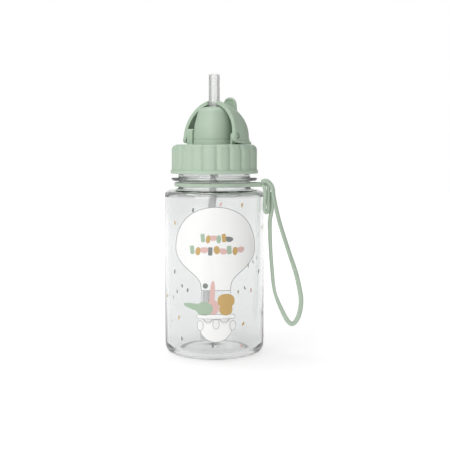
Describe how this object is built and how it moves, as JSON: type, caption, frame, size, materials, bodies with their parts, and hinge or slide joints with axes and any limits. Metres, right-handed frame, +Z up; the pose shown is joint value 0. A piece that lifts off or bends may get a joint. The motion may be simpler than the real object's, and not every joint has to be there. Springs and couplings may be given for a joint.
{
  "type": "kids water bottle",
  "caption": "Clear kids' water bottle with a ribbed screw collar, a flip-over hood over a soft straw, and a woven wrist strap round its neck.",
  "frame": {"origin": "centre of the base, on the surface that the bottle stands on", "axes": "+Z up along the bottle's axis, -Y towards the printed front, +X towards the side that the strap hangs on"},
  "size_m": [0.0916, 0.066, 0.1856],
  "materials": {
    "clear_body": "clear copolyester, polished",
    "sage_lid": "moulded polypropylene, satin",
    "silicone": "translucent silicone",
    "frosted_straw": "frosted polyethylene",
    "cord": "woven polyester cord"
  },
  "bodies": {
    "bottle": {"bottle_body": "clear_body"},
    "seal": {"sealing_ring": "silicone"},
    "cap": {"screw_collar": "sage_lid", "spout_dome": "sage_lid", "vent_valve": "silicone", "mouth_straw": "silicone", "straw_sleeve": "silicone", "lower_straw": "frosted_straw"},
    "hood": {"hood": "sage_lid"},
    "strap": {"neck_loop": "cord", "strap_knot": "cord", "wrist_loop": "cord"}
  },
  "joints": [
    {"name": "cap_lift", "type": "slide", "parent": "bottle", "child": "seal", "axis": [0, 0, 1], "range_m": [0, 0.00601]},
    {"name": "cap_turn", "type": "hinge", "parent": "seal", "child": "cap", "pos_m": [0, 0, 0.13], "axis": [0, 0, 1], "range_deg": [0, 540]},
    {"name": "hood_flip", "type": "hinge", "parent": "cap", "child": "hood", "pos_m": [-0.00136, -0.00146, 0.1449], "axis": [0.7314, -0.682, 0], "range_deg": [0, 104], "deforming": ["mouth_straw"]},
    {"name": "strap_swivel", "type": "hinge", "parent": "bottle", "child": "strap", "pos_m": [0, 0, 0.113], "axis": [0, 0, 1], "continuous": true}
  ],
  "couplings": [
    {"joint": "cap_lift", "follows": "cap_turn", "m_per_rad": 0.00063662}
  ]
}
